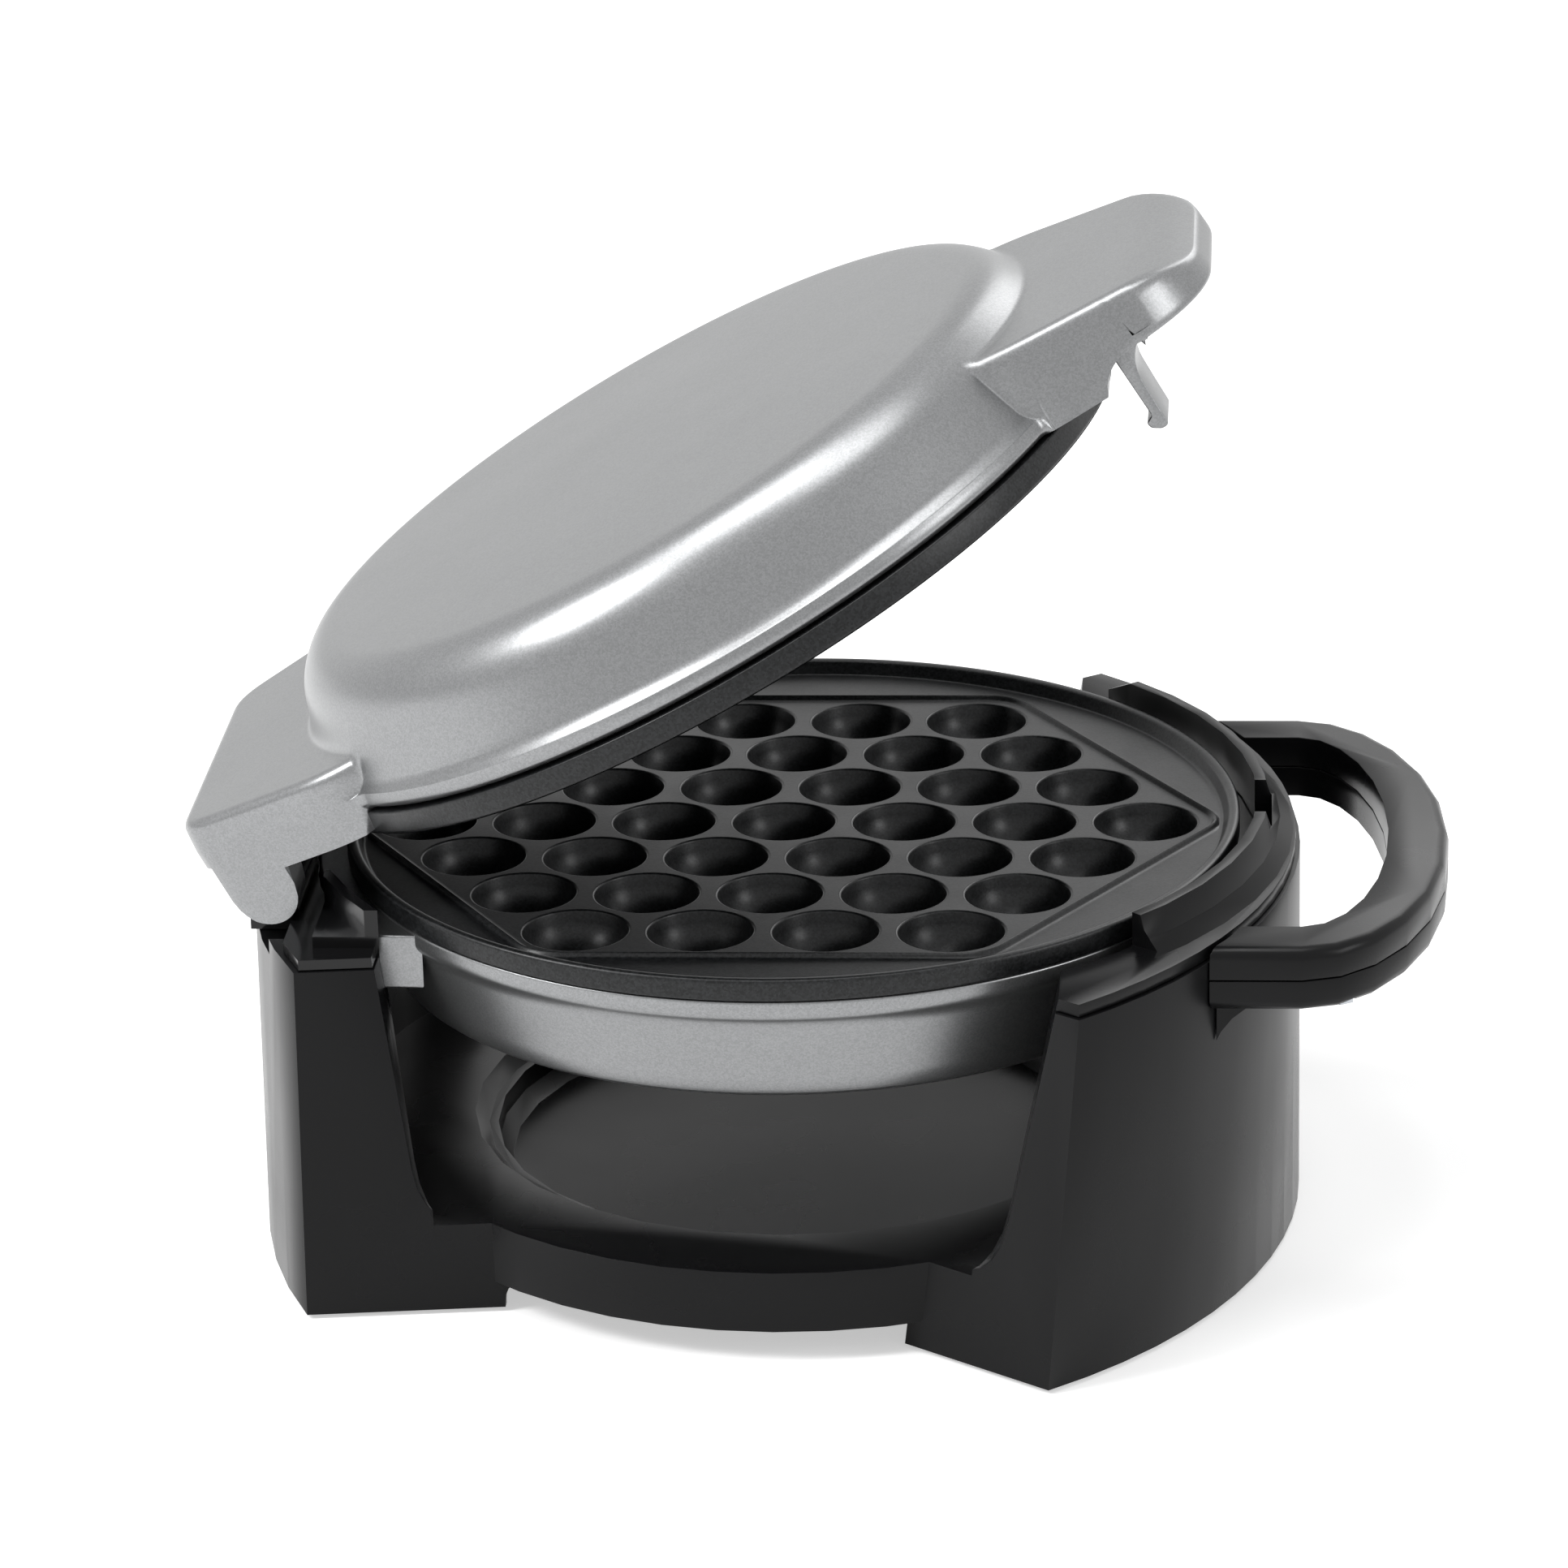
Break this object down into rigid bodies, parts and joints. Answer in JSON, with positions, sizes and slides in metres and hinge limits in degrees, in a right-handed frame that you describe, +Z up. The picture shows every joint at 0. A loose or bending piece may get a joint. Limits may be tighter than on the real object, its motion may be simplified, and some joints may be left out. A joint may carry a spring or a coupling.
{
  "type": "bubble waffle maker",
  "caption": "Bubble waffle iron with a hinged silver lid, domed-cell round plates, latch lever and a black stand with a loop handle.",
  "frame": {"origin": "under the middle of the whole object, on the surface that its feet stand on", "axes": "+Z up, +X from the lid's hinge towards the stand's loop handle, +Y to the back; the object is open to the front (-Y) and back (+Y)"},
  "size_m": [0.2696, 0.2102, 0.2191],
  "materials": {
    "silver_lacquer": "satin silver lacquer with fine flake",
    "black_plastic": "semi-matt moulded black",
    "gloss_black_plastic": "glossy moulded black",
    "non_stick": "dark non-stick coating on cast aluminium",
    "reflector_sheet": "bright sheet",
    "steel": "satin",
    "rubber": "matt"
  },
  "bodies": {
    "stand": {"stand_shell": "black_plastic", "guard_cover": "black_plastic", "loop_handle_upper": "black_plastic", "loop_handle_lower": "black_plastic", "loop_handle_screw_1": "steel", "loop_handle_screw_2": "steel", "hinge_tower": "gloss_black_plastic", "wiring_cover": "black_plastic", "wiring_cover_screw_1": "steel", "wiring_cover_screw_2": "steel", "cord_gland": "rubber", "hinge_pin_front": "steel", "hinge_pin_back": "steel", "rubber_foot_1": "rubber", "rubber_foot_2": "rubber", "rubber_foot_3": "rubber", "rubber_foot_4": "rubber", "lower_bowl": "silver_lacquer", "lower_plate": "non_stick", "lower_heater": "steel", "lower_reflector": "reflector_sheet", "lower_plate_screw_1": "steel", "lower_plate_screw_2": "steel", "lower_plate_screw_3": "steel", "thermostat": "steel"},
    "lid": {"lid_shell": "silver_lacquer", "lid_handle_cover": "silver_lacquer", "upper_plate": "non_stick", "upper_heater": "steel", "upper_reflector": "reflector_sheet", "latch_pin": "steel"},
    "latch": {"latch_lever": "silver_lacquer"}
  },
  "joints": [
    {"name": "lid_hinge", "type": "hinge", "parent": "stand", "child": "lid", "pos_m": [-0.11718, 0, 0.088], "axis": [0, -1, 0], "range_deg": [-28.5, 61.5]},
    {"name": "latch_pivot", "type": "hinge", "parent": "lid", "child": "latch", "pos_m": [0.06461, 0, 0.20377], "axis": [0, 1, 0], "range_deg": [0, 5], "stiffness_Nm_per_rad": 0.2, "springref_deg": -2.86}
  ]
}
